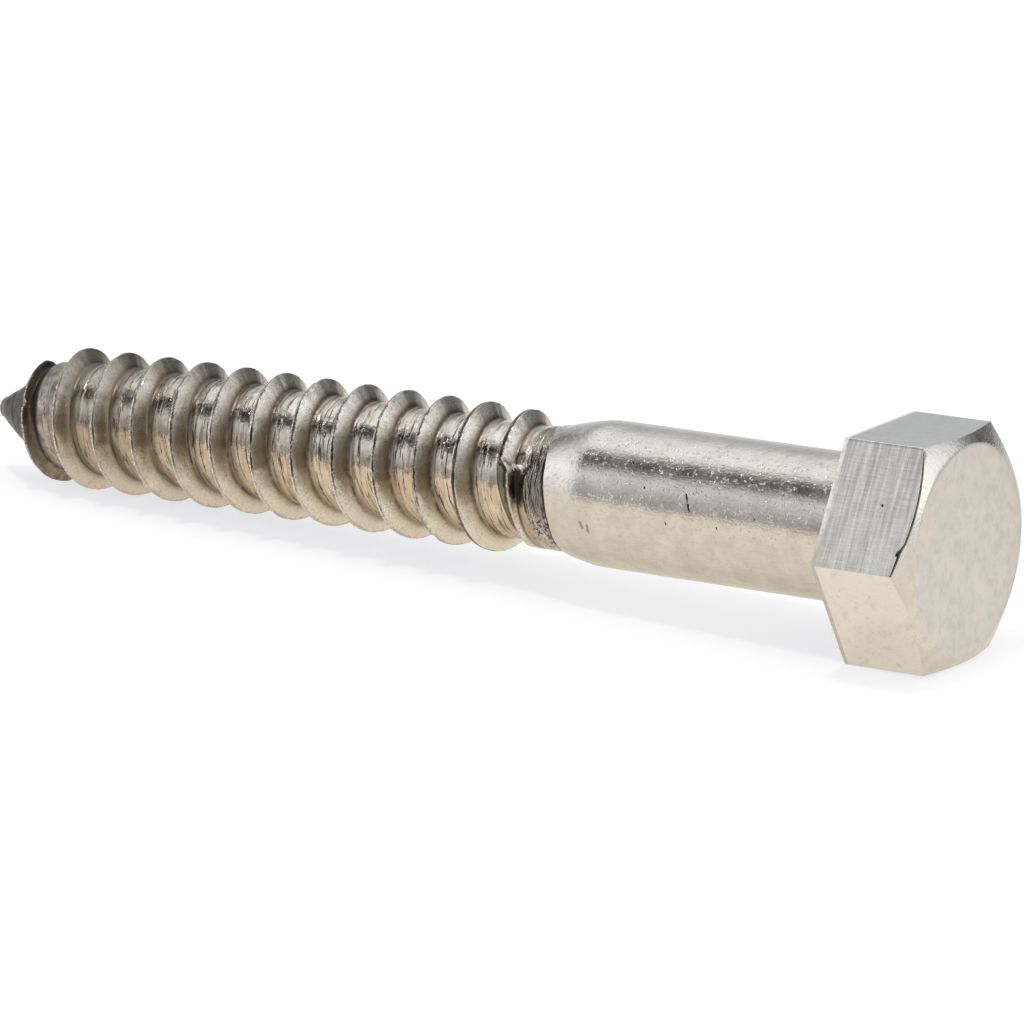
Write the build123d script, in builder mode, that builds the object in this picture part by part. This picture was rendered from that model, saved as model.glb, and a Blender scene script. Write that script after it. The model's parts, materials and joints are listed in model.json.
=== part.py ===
from build123d import *
import os
from math import asin, atan2, ceil, cos, degrees, hypot, radians, sin, tan

"""Hex-head lag screw, nominal 1/2 in - 6 x 3 1/2 in, lying on a level surface.

Millimetres. The screw is first drawn upright on its own axis, point down, with the bearing face
of the head at z = 0. It is then laid down as it comes to rest, on one flat of the head and one
crest of the thread. In the finished frame +X runs from the point to the head, +Z is up, and the
origin is the centre of the bearing face, on the axis of the shank.
"""

# Head
across_flats = 19.04
head_height = 8.55
head_shift = (-0.32, 0.11)  # the forged head sits a little off the shank's axis
chamfer_circle = 17.6  # diameter of the flat end face inside the chamfer
chamfer_angle = 27.2
bearing_edge = 0.25  # rounding of the hexagon's edge on the bearing side
neck_flare = 0.6  # where the shank widens into the bearing face

# Shank and the shoulder where it steps down to the rolled thread
shank_diameter = 12.44
shank_length = 25.4
shoulder_length = 4.5
shoulder_drop = 0.88
collar_length = 1.5  # the torn collar between the shoulder and the thread
collar_drop = 0.24
neck_length = 0.8  # from the collar down to the core of the thread

# Point
length = 90.25  # bearing face to point
cone_angle = 32  # half angle of the gimlet point
tip_radius = 0.85

# Thread
pitch = 25.4 / 6
root_diameter = 9.7
crest_diameter = 12.58
crest_flat = 0.20
flank_angle = 30  # each flank, from a plane square to the axis
start_setback = 3.01  # from the tip to the centre of the thread's first ridge
start_foot = 0.7  # how far below its crest the first ridge meets the cone
start_diameter = 6.0
point_turns = 1.0  # the thread's start, wound on the cone of the point
entry_diameter = 12.1
entry_turns = 0.5  # from the entry diameter to the full crest
fade_diameter = 12.16
fade_turns = 0.5  # from the full crest to the fade diameter, towards the shoulder
runout_diameter = 10.4
runout_turns = 1.0  # from the fade diameter until the ridge dies out
runout_setback = 0.19  # from the shoulder to the centre of the last ridge
bury = 0.4  # how far the ridge reaches into the core

root_radius = root_diameter / 2
crest_radius = crest_diameter / 2
shank_radius = shank_diameter / 2
cone = radians(cone_angle)
tip_edge = (tip_radius * cos(cone), -length + tip_radius * (1 - sin(cone)))
cone_start = -tip_edge[1] - (root_radius - tip_edge[0]) / tan(cone)
shoulder_depth = shank_length + shoulder_length  # depths are measured from the bearing face
collar_depth = shoulder_depth + collar_length
shoulder_radius = shank_radius - shoulder_drop


def core_radius(depth):
    """Radius of the core below the thread, on the cylinder or on the cone of the point."""
    return min(root_radius, root_radius - (depth - cone_start) * tan(cone))


def half_width(crest, base):
    """Half the width of the ridge at radius base, for a crest at radius crest."""
    return crest_flat / 2 + (crest - base) * tan(radians(flank_angle))


def ridge_edge(lower, upper, turns, start_angle):
    """Helix from the point lower = (radius, z) to upper, over a number of turns."""
    rise = upper[1] - lower[1]
    slope = atan2(upper[0] - lower[0], rise)
    edge = Helix(
        pitch=rise / turns / cos(slope),
        height=rise,
        radius=lower[0],
        center=(0, 0, lower[1]),
        cone_angle=degrees(slope),
        mode=Mode.PRIVATE,
    )
    return edge.edge().rotate(Axis.Z, start_angle)


def ridge_section(depth, crest, base):
    """Corners (radius, z) of the ridge's section, from its lower root to its upper root."""
    root_half = half_width(crest, base)
    return [
        (base, -depth - root_half),
        (crest, -depth - crest_flat / 2),
        (crest, -depth + crest_flat / 2),
        (base, -depth + root_half),
    ]


def ridge(depth, turns, crests, bases):
    """A stretch of thread that starts at a depth and rises by turns towards the head."""
    start_angle = 180 + 360 * (start_depth - depth) / pitch
    lower = ridge_section(depth, crests[0], bases[0])
    upper = ridge_section(depth - turns * pitch, crests[1], bases[1])
    edges = [ridge_edge(a, b, turns, start_angle) for a, b in zip(lower, upper)]
    faces = [Face.make_surface_from_curves(edges[i - 1], edges[i]) for i in range(4)]
    for end in (0, 1):
        corners = [edge.position_at(end) for edge in edges]
        faces.append(Face(Wire.make_polygon(corners, close=True)))
    return Solid(Shell(faces))


# Stretches of the thread: turns, crest radius and base radius at its lower and upper end
start_depth = length - start_setback  # where the first ridge crosses the underside
end_depth = shoulder_depth + runout_setback
base_radius = root_radius - bury
start_base = core_radius(start_depth + start_foot) - bury
bases = (base_radius, base_radius)
point_stretch = (point_turns, (start_diameter / 2, entry_diameter / 2), (start_base, base_radius))
entry_stretch = (entry_turns, (entry_diameter / 2, crest_radius), bases)
fade_stretch = (fade_turns, (crest_radius, fade_diameter / 2), bases)
runout_stretch = (runout_turns, (fade_diameter / 2, runout_diameter / 2), bases)
all_turns = (start_depth - end_depth) / pitch
full_turns = all_turns - point_turns - entry_turns - fade_turns - runout_turns
turn_stretch = (full_turns / ceil(full_turns), (crest_radius, crest_radius), bases)
stretches = [point_stretch, entry_stretch]
stretches += [turn_stretch] * ceil(full_turns)
stretches += [fade_stretch, runout_stretch]

head_plane = Plane((*head_shift, 0))
chamfer_drop = (across_flats - chamfer_circle / 2) * tan(radians(chamfer_angle))

# Point, core, collar, shoulder and shank as one turned profile
with BuildPart() as upright:
    with BuildSketch(Plane.XZ):
        with BuildLine():
            tip = RadiusArc((0, -length), tip_edge, -tip_radius)
            core = Polyline(
                tip_edge,
                (root_radius, -cone_start),
                (root_radius, -collar_depth - neck_length),
                (shoulder_radius - collar_drop, -collar_depth),
                (shoulder_radius, -shoulder_depth),
            )
            shoulder = TangentArc((shank_radius, -shank_length), core @ 1, tangent=(0, -1))
            Polyline(
                shoulder @ 0,
                (shank_radius, -neck_flare),
                (shank_radius + neck_flare, 0),
                (0, 0),
                tip @ 0,
            )
        make_face()
    revolve(axis=Axis.Z)

    # Thread, one stretch after another from the point up to the shoulder
    depth = start_depth
    for turns, crests, roots in stretches:
        add(ridge(depth, turns, crests, roots))
        depth -= turns * pitch

    # Hex head, its corners cut back by the chamfer to the round end face
    with BuildSketch(head_plane):
        RegularPolygon(across_flats / 2, side_count=6, major_radius=False, rotation=30)
    extrude(amount=head_height)
    with BuildSketch(Plane(head_plane.origin, x_dir=(1, 0, 0), z_dir=(0, -1, 0))):
        with BuildLine():
            Polyline(
                (chamfer_circle / 2, head_height),
                (across_flats, head_height - chamfer_drop),
                (across_flats, head_height),
                close=True,
            )
        make_face()
    revolve(axis=Axis(head_plane.origin, (0, 0, 1)), mode=Mode.SUBTRACT)
    bearing_face = upright.faces().filter_by(Axis.Z).sort_by(Axis.Z)[0]
    fillet(bearing_face.outer_wire().edges(), radius=bearing_edge)

# Laid down: the head rests on the bearing edge of a flat, the thread on its lowest whole crest
rest_crest = start_depth - ceil(point_turns + entry_turns) * pitch
fall = across_flats / 2 - head_shift[0] - bearing_edge - crest_radius
run = rest_crest + bearing_edge
rest_tilt = atan2(fall, run) + asin(bearing_edge / hypot(fall, run))
rest_plane = Plane(
    (0, 0, 0),
    x_dir=(-sin(rest_tilt), 0, cos(rest_tilt)),
    z_dir=(cos(rest_tilt), 0, sin(rest_tilt)),
)
with BuildPart(rest_plane) as lag_screw:
    add(upright.part)
lag_screw.part.label = "lag_screw"

print(f"rest tilt {degrees(rest_tilt):.2f} degrees")
print(f"direction from point to head {rest_plane.z_dir}")
print(f"volume {lag_screw.part.volume:.1f} mm3, box {lag_screw.part.bounding_box()}")

os.makedirs("parts", exist_ok=True)
export_step(lag_screw.part, "parts/lag_screw.step")
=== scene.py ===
import json
from math import atan2, ceil, cos, degrees, floor, hypot, pi, radians, sin, sqrt, tan

import bpy
from mathutils import Matrix, Vector, noise


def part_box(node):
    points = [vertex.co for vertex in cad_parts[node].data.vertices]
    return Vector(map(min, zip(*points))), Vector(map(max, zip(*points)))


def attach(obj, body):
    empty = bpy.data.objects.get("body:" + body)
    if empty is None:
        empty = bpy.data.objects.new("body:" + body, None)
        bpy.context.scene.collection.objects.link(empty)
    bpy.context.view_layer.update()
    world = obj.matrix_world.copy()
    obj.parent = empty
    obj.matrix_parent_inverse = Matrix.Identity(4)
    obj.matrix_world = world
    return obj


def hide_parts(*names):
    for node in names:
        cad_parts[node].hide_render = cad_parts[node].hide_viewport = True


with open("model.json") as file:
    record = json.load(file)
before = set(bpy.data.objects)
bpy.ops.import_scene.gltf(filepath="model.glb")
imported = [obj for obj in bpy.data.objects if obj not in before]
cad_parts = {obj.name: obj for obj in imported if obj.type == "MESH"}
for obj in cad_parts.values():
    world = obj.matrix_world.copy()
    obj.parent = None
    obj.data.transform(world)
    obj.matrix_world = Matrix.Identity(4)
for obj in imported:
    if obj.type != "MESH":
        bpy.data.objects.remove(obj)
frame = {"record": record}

"""Lag screw: the dressed model, its floor, light and camera.

The screw is one watertight mesh that stands for the CAD solid. It is worked out in millimetres in
the screw's own frame (x up, y to the near side, z from the point to the head, bearing face at
z = 0) and set down in the row frame by place(). Under the head it is a sheared grid whose rows
follow the thread, so the ridge's edges run along the rows; the head is a stack of rings.
"""

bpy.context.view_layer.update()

# Frame of the screw
mounts = {m["name"]: m for m in frame["record"]["mounts"]}
AXIS = Vector(mounts["head_end"]["axis"]).normalized()
UP = Vector((-AXIS.z, 0, AXIS.x))
NEAR = Vector((0, -1, 0))
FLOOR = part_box("lag_screw")[0].z

# Head
HALF_FLATS = 9.517
HEAD_HEIGHT = 8.549
HEAD_SHIFT = (-0.32, 0.11)
END_RADIUS = 8.8
CHAMFER = tan(radians(27.2))
GAP_INSETS = (0.05, 0.11, 0.19)
GAP_DEPTH = 0.18
CHIP_DEPTH = 0.22
BEARING_EDGE = 0.32
NECK_FLARE = 0.6

# Shank, shoulder and collar: depths below the bearing face
SHANK_RADIUS = 6.22
SHANK_LENGTH = 25.4
SHOULDER_DEPTH = 29.9
SHOULDER_RADIUS = 5.34
COLLAR_DEPTH = 31.4
COLLAR_RADIUS = 5.1
NECK_DEPTH = 32.2

# Thread and point
PITCH = 25.4 / 6
ROOT_RADIUS = 4.85
CREST_RADIUS = 6.29
CREST_HALF = 0.1
ROOT_EDGE = 0.9  # from the middle of a crest to where its flank meets the root
FLANK = tan(radians(30))
LENGTH = 90.14
TIP_RADIUS = 1.1
CONE = radians(32)
TIP_EDGE = LENGTH - TIP_RADIUS * (1 - sin(CONE))  # depth at which the cone meets the round tip
THREAD_START = 87.24
THREAD_END = 30.09
FIRST_TURN = -1  # turn of the ridge next to the point
LAST_TURN = 11  # turn of the ridge next to the shoulder
BACK_SIDE = PITCH * 0.62  # distance across the winding beyond which the next crest is the nearest
# Depth and radius of the crests
CREST_STATIONS = (
    (30.1, 4.9), (31.2, 5.05), (32.2, 5.12), (33.5, 5.32), (33.6, 5.86), (34.3, 6.06),
    (35.2, 6.24), (36.4, 6.29), (66, 6.29), (80.9, 6.17), (83, 5.97), (85.1, 4.82), (86.2, 3.6),
    (87.2, 2.75),
)
NECK_STATIONS = (
    (SHOULDER_DEPTH, SHOULDER_RADIUS),
    (COLLAR_DEPTH, COLLAR_RADIUS),
    (NECK_DEPTH, ROOT_RADIUS),
)
# Torn collar: angle round the screw, depth of its middle, half its width
TORN_STATIONS = (
    (0, 31.45, 0.27), (12, 31.15, 0.3), (40, 30.7, 0.7), (60, 30.41, 0.81), (74, 30.5, 1.1),
    (90, 30.23, 1.13), (108, 29.97, 1.1), (125, 29.73, 0.85), (145, 29.45, 0.55),
    (200, 29.6, 0.45), (280, 30.6, 0.5), (360, 31.45, 0.27),
)
LIP = 63  # angle at which the last ridge breaks off over the hollow
LIP_PUSH = 0.42  # how far the ridge beyond it is pushed up towards the head
FILLED_RADIUS = 5.45  # the collar behind, where no hollow is torn into it

# Grid
COLUMNS = 144
SECTOR = COLUMNS // 6
CREST_Z = -80.89  # where the crest crosses the top of the screw
GRID_TOP = -27.8
GRID_TIP = -TIP_EDGE
# Rows of the grid over one pitch, from one crest towards the head
ROWS = (
    0, 0.05, 0.1, 0.14, 0.19, 0.27, 0.38, 0.5, 0.61, 0.71, 0.79, 0.86, 0.92, 1,
    1.18, 1.32, 1.46, 1.6, 1.72, 1.82, 1.92, 2.01, 2.1, 2.2, 2.32, 2.46, 2.62, 2.8, 2.97,
    3.12, 3.24, 3.34, 3.47, 3.63, 3.8, 3.96, 4.07, 4.13, 4.18,
)


def place(point):
    """Point of the screw's own frame, in millimetres, as a point of the row frame in metres."""
    x, y, z = point
    return (UP * x + NEAR * y + AXIS * z) / 1000


def smooth(a, b, x):
    """0 at a and before it, 1 at b and beyond it, smooth between."""
    t = min(1, max(0, (x - a) / (b - a)))
    return t * t * (3 - 2 * t)


def stretch(x, start, full, fading, end):
    """0 outside start and end, 1 from full to fading, smooth between."""
    return smooth(start, full, x) * smooth(end, fading, x)


def groove(x, middle, width):
    """1 at the middle, falling to 0 at the width each side, as the section of a groove."""
    return max(0, 1 - ((x - middle) / width) ** 2)


def between(stations, x):
    """Value at x on the broken line through the stations."""
    if x <= stations[0][0]:
        return stations[0][1]
    for (x0, y0), (x1, y1) in zip(stations, stations[1:]):
        if x <= x1:
            return y0 + (y1 - y0) * (x - x0) / (x1 - x0)
    return stations[-1][1]


def blended_max(a, b, k):
    """The larger of a and b, with their meeting rounded over k."""
    h = max(k - abs(a - b), 0) / k
    return max(a, b) + h * h * k / 4


def wave(x, y, z):
    """Smooth noise from about -1 to 1."""
    return noise.noise(Vector((x, y, z)))


# Shape under the head
def shoulder_radius(depth):
    """Radius of the shoulder: the mean of a round side and of one that is nearly straight."""
    length = SHOULDER_DEPTH - SHANK_LENGTH
    drop = SHANK_RADIUS - SHOULDER_RADIUS
    bend = (length**2 + drop**2) / 2 / drop
    round_side = SHANK_RADIUS - bend + sqrt(bend**2 - (depth - SHANK_LENGTH) ** 2)
    straight = SHANK_RADIUS - (depth - SHANK_LENGTH - 0.5) * drop / (length - 0.5)
    return (round_side - blended_max(-SHANK_RADIUS, -straight, 0.1)) / 2


def core_radius(depth):
    """Radius of the screw without its thread."""
    if depth <= SHANK_LENGTH:
        return SHANK_RADIUS
    if depth <= SHOULDER_DEPTH:
        return shoulder_radius(depth)
    if depth <= NECK_DEPTH:
        return between(NECK_STATIONS, depth)
    if depth <= TIP_EDGE:
        return min(ROOT_RADIUS, TIP_RADIUS * cos(CONE) + (TIP_EDGE - depth) * tan(CONE))
    return sqrt(max(0, TIP_RADIUS**2 - (depth - LENGTH + TIP_RADIUS) ** 2))


def sag(depth):
    """How far the point is bent down from the axis."""
    bend = 0.1 * smooth(68, 84, depth) + 0.2 * smooth(82.5, 87.5, depth)
    return 0.1 * smooth(87.8, 89.8, depth) - bend


def wind(angle, z):
    """Turn of the crest next below a point, and the distance from that crest to the point."""
    turns = (z - CREST_Z) / PITCH - angle / 2 / pi
    turn = floor(turns + 1e-6)
    return turn, (turns - turn) * PITCH


def torn_collar(angle, depth):
    """Height of a point above the middle of the torn collar, and half the collar's width there."""
    round_deg = degrees(angle) % 360
    middle = between([(a, m) for a, m, w in TORN_STATIONS], round_deg)
    width = between([(a, w) for a, m, w in TORN_STATIONS], round_deg)
    middle += 0.07 * wave(angle * 3, 0, 21) + 0.03 * wave(angle * 11, 3, 21)
    return middle - depth, width


def collar_radius(angle, depth, core):
    """Radius round the torn collar: wrinkles, a lip over the hollow, a step to the shoulder."""
    above, width = torn_collar(angle, depth)
    round_deg = degrees(angle)
    torn = smooth(width + 0.1, width - 0.05, abs(above))
    run = angle * 5
    wrinkle = wave(run * 0.3, above * 2.6, 31) + 0.5 * wave(run * 0.8, above * 6.5, 35)
    folded_up = 0.04 + 0.12 * stretch(round_deg, 14, 30, 50, 62)
    core += torn * (0.17 * wrinkle - 0.05) + folded_up * groove(above, -width, 0.22)
    step = 0.16 * stretch(round_deg, -10, 20, 120, 150)
    core -= step * groove(above, width, 0.14) + 0.08 * groove(above, width * 0.45, 0.1) * torn
    core += 0.1 * lip(angle, depth)
    filled = stretch(round_deg, 100, 155, 215, 260) * smooth(33.3, 32.6, depth)
    core += max(0, FILLED_RADIUS - core) * filled
    return core - 0.3 * hollow(angle, depth)


def lip(angle, depth):
    """Folded edge where the last ridge breaks off, from 0 to 1."""
    ragged = LIP - 2 + 3 * (depth - 32.6) + 2.5 * wave(depth * 3, 0, 71)
    reached = groove(degrees(angle), ragged, 2.6)
    return reached * smooth(33.7, 33.3, depth) * smooth(31.7, 32.1, depth)


def hollow(angle, depth):
    """Hollow beyond the broken lip, from 0 to 1."""
    above, width = torn_collar(angle, depth)
    start = LIP + 2.5 * wave(depth * 3, 0, 71) + 3 * (depth - 32.6)
    ends = stretch(degrees(angle) % 360, start - 0.5, start + 3, 84, 108)
    crest = -ridge_z(LAST_TURN, angle)
    beyond_crest = smooth(crest - 0.05, crest - 0.35, depth)
    return ends * beyond_crest * smooth(-width + 0.05, -width - 0.2, above)


def pushed(turn, angle):
    """How far a turn's crest is pushed up towards the head."""
    return LIP_PUSH * smooth(LIP - 6, LIP + 6, degrees(angle)) if turn == LAST_TURN else 0


def ridge_z(turn, angle):
    """Height of the crest of a turn."""
    return CREST_Z + PITCH * (turn + angle / 2 / pi) + pushed(turn, angle)


def root_wear(turn, along, across):
    """Rolled seams and cracks in the root, which wander along the thread."""
    drift = 0.22 * wave(along * 0.13, 4, 0) + 0.08 * wave(along * 0.6, 8, 0)
    seam = groove(across, 2.02 + drift, 0.13) * smooth(-0.15, 0.35, wave(along * 0.35, 1, 5))
    drift = 0.15 * wave(along * 0.2, 14, 0) + 0.06 * wave(along * 0.7, 18, 0)
    second = groove(across, 1.55 + drift, 0.12) * smooth(0, 0.4, wave(along * 0.3, 3, 15))
    torn = groove(across, 2.75, 0.5) * max(0, wave(along * 1.1, across * 2.2, 25))
    return 0.11 * seam + 0.06 * second + 0.1 * torn - 0.03 * wave(along * 0.4, across * 2, 3.1)


def worn_core(angle, depth, turn, along, across):
    """Radius between the ridges: worn roots, the torn collar, the slimmer end."""
    core = core_radius(depth)
    if 33 < depth < 84:
        share = (across - ROOT_EDGE) / (PITCH - 2 * ROOT_EDGE)
        if 0 < share < 1:
            core += 0.1 * (1 - (2 * share - 1) ** 2)
            core -= root_wear(turn, along, across) * smooth(0, 0.15, share) * smooth(1, 0.9, share)
        core -= 0.03
    if depth < 33.2:
        core = collar_radius(angle, depth, core)
    if depth > 79:
        thinner = smooth(80, 84, depth)
        core = min(core, ROOT_RADIUS - 0.3 * thinner + 0.2) - 0.1 * thinner
        core += 0.08 * stretch(depth, 84.5, 87, 88.5, 90)
    return core


def ridge_radius(angle, depth, turn, along, across):
    """Radius of the nearest ridge, falling away along its flanks, with its lips and nicks."""
    back = across > BACK_SIDE
    nearest = turn + 1 if back else turn
    from_crest = across - PITCH if back else across
    if nearest == LAST_TURN:
        from_crest -= pushed(nearest, angle)
        from_crest *= 1 + 0.7 * smooth(LIP - 2, LIP + 4, degrees(angle))
    ridge_depth = depth + from_crest
    from_crest += 0.05 * wave(along * 0.35, 0, 7.7) + 0.02 * wave(along * 1.3, 1, 7.7)
    crest = between(CREST_STATIONS, ridge_depth)
    half = CREST_HALF
    if back:
        half += 0.2 * smooth(43, 36.5, ridge_depth)
    nick = max(0, wave(along * 0.8, 5, 0) - 0.25)
    crest -= 0.05 * abs(wave(along * 2.3, 2, 0)) + 0.15 * nick
    if nearest == FIRST_TURN:
        from_crest -= 0.25 * smooth(82, 83.6, ridge_depth)
        crest -= 0.45 * groove(degrees(angle), 67, 4)
    if ridge_depth < 36:
        raised = 0.1 * groove(degrees(angle), LIP - 4, 4)
        crest += raised - 0.04 * abs(wave(along * 2, 0, 51))
    ridge = crest - max(0, abs(from_crest) - half) / FLANK
    seam = groove(from_crest, 0.15, 0.06) * smooth(-0.1, 0.3, wave(along * 0.5, 11, 2))
    ridge -= 0.1 * seam
    if ridge_depth > THREAD_START:
        ridge -= (ridge_depth - THREAD_START) * 6
    if ridge_depth < THREAD_END:
        ridge -= (THREAD_END - ridge_depth) * 4
    return ridge + 0.02 * wave(along * 0.7, across * 2, 9)


def thread_radius(angle, z):
    """Radius of the screw below the shoulder, with its thread and its wear."""
    turn, across = wind(angle, z)
    along = (turn + angle / 2 / pi) * 2 * pi * CREST_RADIUS
    place_on = (angle, -z, turn, along, across)
    fillet = 0.25 if across > BACK_SIDE else 0.5
    return blended_max(worn_core(*place_on), ridge_radius(*place_on), fillet)


def shade_and_highlight_at(angle, z):
    """Painted shade of the hollows and of the lines along the torn collar under the head, up to 1;
    the lip's painted highlight is below 0.
    """
    depth = -z
    if depth > 34:
        return 0
    above, width = torn_collar(angle, depth)
    round_deg = degrees(angle)
    # painted shade: a dark line under the collar by the lip, one along its upper edge at the step,
    # and the hollow
    under = stretch(round_deg, 55, 62, 95, 108) * groove(above, -width - 0.04, 0.16)
    border = groove(above, width, 0.13) * smooth(20, 55, round_deg) * smooth(150, 130, round_deg)
    deep = hollow(angle, depth) * (0.45 + 0.55 * smooth(LIP + 3, LIP + 16, round_deg))
    return min(1, deep + 0.9 * under + 0.9 * border) - 1.2 * lip(angle, depth)


class Shell:
    """Points, faces and face regions of the screw's mesh."""

    def __init__(self):
        self.points, self.faces, self.regions, self.shade_and_highlight = [], [], [], []

    def point(self, x, y, z, shade_and_highlight=0):
        self.points.append((x, y, z))
        self.shade_and_highlight.append(shade_and_highlight)
        return len(self.points) - 1

    def face(self, corners, region):
        kept = [c for i, c in enumerate(corners) if c != corners[i - 1]]
        if len(kept) > 2:
            self.faces.append(kept)
            self.regions.append(region)

    def places(self, ring):
        return [self.points[p] for p in ring]

    def ring(self, place_column):
        return [self.point(*place_column(i)) for i in range(COLUMNS)]

    def band(self, lower, upper, region):
        for i in range(COLUMNS):
            j = (i + 1) % COLUMNS
            name = region(i) if callable(region) else region
            self.face([lower[i], lower[j], upper[j], upper[i]], name)

    def stack(self, ring, place_columns, region):
        """Bands from a ring up through further rings; returns the last of them."""
        for place_column in place_columns:
            upper = self.ring(place_column)
            self.band(ring, upper, region)
            ring = upper
        return ring


def column_angle(i):
    return 2 * pi * i / COLUMNS


def turned(depth, radius=None):
    """Column placing for a round ring of the screw at a depth."""

    def column(i):
        angle = column_angle(i)
        r = thread_radius(angle, -depth) if radius is None else radius
        return r * cos(angle) + sag(depth), r * sin(angle), -depth

    return column


def thread_grid(shell, tip_ring, top_ring):
    """Sheared grid between the ring at the point and the ring at the shoulder."""
    count = len(ROWS)
    first = floor((GRID_TIP - CREST_Z) / PITCH - 2) * count
    last = ceil((GRID_TOP - CREST_Z) / PITCH + 1) * count
    grid = []
    for i in range(COLUMNS):
        angle = column_angle(i)
        column = {}
        for row in range(first, last + 1):
            z = CREST_Z + PITCH * (i / COLUMNS + row // count) + ROWS[row % count]
            if z < GRID_TIP + 0.01:
                column[row] = tip_ring[i]
            elif z > GRID_TOP - 0.01:
                column[row] = top_ring[i]
            else:
                r = thread_radius(angle, z)
                x, y = r * cos(angle) + sag(-z), r * sin(angle)
                column[row] = shell.point(x, y, z, shade_and_highlight_at(angle, z))
        grid.append(column)
    for i in range(COLUMNS):
        here = grid[i]
        there = grid[(i + 1) % COLUMNS]
        step = count if i == COLUMNS - 1 else 0
        for row in range(first, last - count):
            corners = (here[row], there[row + step], there[row + 1 + step], here[row + 1])
            shell.face(list(corners), "thread")


# Head
def hex_point(i, inset=0, rounding=0.15):
    """Column i on the head's outline, drawn in by inset, with its corners rounded."""
    side, step = divmod(i + SECTOR // 2, SECTOR)
    middle = radians(60 * side)
    reach = (HALF_FLATS - inset) * tan(radians(30))
    tangent = rounding * tan(radians(30))
    edge = (0, tangent, tangent + 0.18)
    along = (HALF_FLATS - inset) * tan(radians(-30 + 60 * step / SECTOR))
    out = HALF_FLATS - inset
    near_corner = min(step, SECTOR - step)
    if near_corner < 3:
        along = (-1 if step < SECTOR / 2 else 1) * (reach - edge[near_corner])
    if near_corner == 0:
        pull = rounding * (1 / cos(radians(30)) - 1)
        out -= pull * cos(radians(30))
        along -= (1 if along > 0 else -1) * pull * sin(radians(30))
    x = out * cos(middle) - along * sin(middle)
    y = out * sin(middle) + along * cos(middle)
    return x, y


def head_column(inset, height):
    """Column placing for a ring of the head; height may depend on the distance from its axis."""

    def column(i):
        x, y = hex_point(i, inset)
        z = height(hypot(x, y)) if callable(height) else height
        return x + HEAD_SHIFT[0], y + HEAD_SHIFT[1], z

    return column


def chamfer_height(reach):
    return HEAD_HEIGHT - (reach - END_RADIUS) * CHAMFER


def near_gap(i):
    """Open seam along the near flat where its metal was pushed over the chamfer."""
    side, step = divmod(i + SECTOR // 2, SECTOR)
    if side % 6 != 1:
        return 0
    ends = stretch(step, 0.5, 2.5, SECTOR - 1.5, SECTOR)
    return ends * (0.6 + 0.35 * smooth(7, 17, step) + 0.3 * wave(i * 0.45, 0, 41))


def near_chip(i):
    """Notch broken out of the near flat's edge, from 0 to 1."""
    side, step = divmod(i + SECTOR // 2, SECTOR)
    return groove(step, 20, 1.7) if side % 6 == 1 else 0


def flat_name(i):
    side = ((i + SECTOR // 2) // SECTOR) % 6
    return ("flat_top", "flat_near", "flat_low")[side] if side < 3 else "flat_back"


def neck_columns():
    """The shank's end, which widens into the bearing face."""
    for step in range(1, 6):
        turn = pi / 2 * step / 5
        depth = NECK_FLARE * (1 - sin(turn))
        yield turned(depth, SHANK_RADIUS + NECK_FLARE * (1 - cos(turn)))


def bearing_columns(neck):
    """Bearing face, from the neck out to the hexagon."""
    edge = head_column(BEARING_EDGE, 0)
    for step in range(1, 6):
        share = step / 5
        yield lambda i: tuple(a + (b - a) * share for a, b in zip(neck[i], edge(i)))


def rim_columns():
    """Uneven rounding between the bearing face and the flats."""
    for step in range(1, 5):
        turn = pi / 2 * step / 4
        rounded = head_column(BEARING_EDGE * (1 - sin(turn)), BEARING_EDGE * (1 - cos(turn)))

        def column(i):
            x, y, z = rounded(i)
            return x, y, z * (1 + 0.35 * wave(i * 0.37, 0, 61) + 0.25 * wave(i * 0.9, 4, 61))

        yield column


def flat_columns():
    """Flats, from the rounding up to the chamfer's edge, with the near flat's chip."""
    for share in [0.028] + [(step / 11) ** 1.2 for step in range(1, 12)]:

        def height(reach):
            return BEARING_EDGE + (chamfer_height(reach) - BEARING_EDGE) * share

        def column(i):
            x, y, z = head_column(0, height)(i)
            return x, y, z - CHIP_DEPTH * near_chip(i) * share**6

        yield column


def chamfer_columns(outline):
    """Chamfer, from the outline of the flats in to the end face, with the seam and the chip."""
    for step in range(1, 10):
        seam_open = step < len(GAP_INSETS)

        def column(i):
            x, y, z = outline[i]
            dx, dy = x - HEAD_SHIFT[0], y - HEAD_SHIFT[1]
            reach = hypot(dx, dy)
            last = GAP_INSETS[-1]
            inset = last + (reach - END_RADIUS - last) * (step - 3) / 6
            if step <= len(GAP_INSETS):
                inset = GAP_INSETS[step - 1]
            inner = reach - inset
            gap = near_gap(i) if seam_open else 0
            low = GAP_DEPTH * gap + CHIP_DEPTH * near_chip(i) * max(0, 1 - (step - 1) / 4)
            # painted shade in the open seam and the chip, for the chamfer's material
            shade_and_highlight = max(gap, near_chip(i) * seam_open)
            x = HEAD_SHIFT[0] + dx * inner / reach
            y = HEAD_SHIFT[1] + dy * inner / reach
            return x, y, chamfer_height(inner) - low, shade_and_highlight

        yield column


def end_columns(rim):
    """End face, in to the ring round its middle."""
    for share in (0.97, 0.9, 0.8, 0.7, 0.6, 0.5, 0.4, 0.3, 0.2, 0.1):

        def column(i):
            x, y, z = rim[i]
            x = HEAD_SHIFT[0] + (x - HEAD_SHIFT[0]) * share
            y = HEAD_SHIFT[1] + (y - HEAD_SHIFT[1]) * share
            return x, y, z

        yield column


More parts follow.
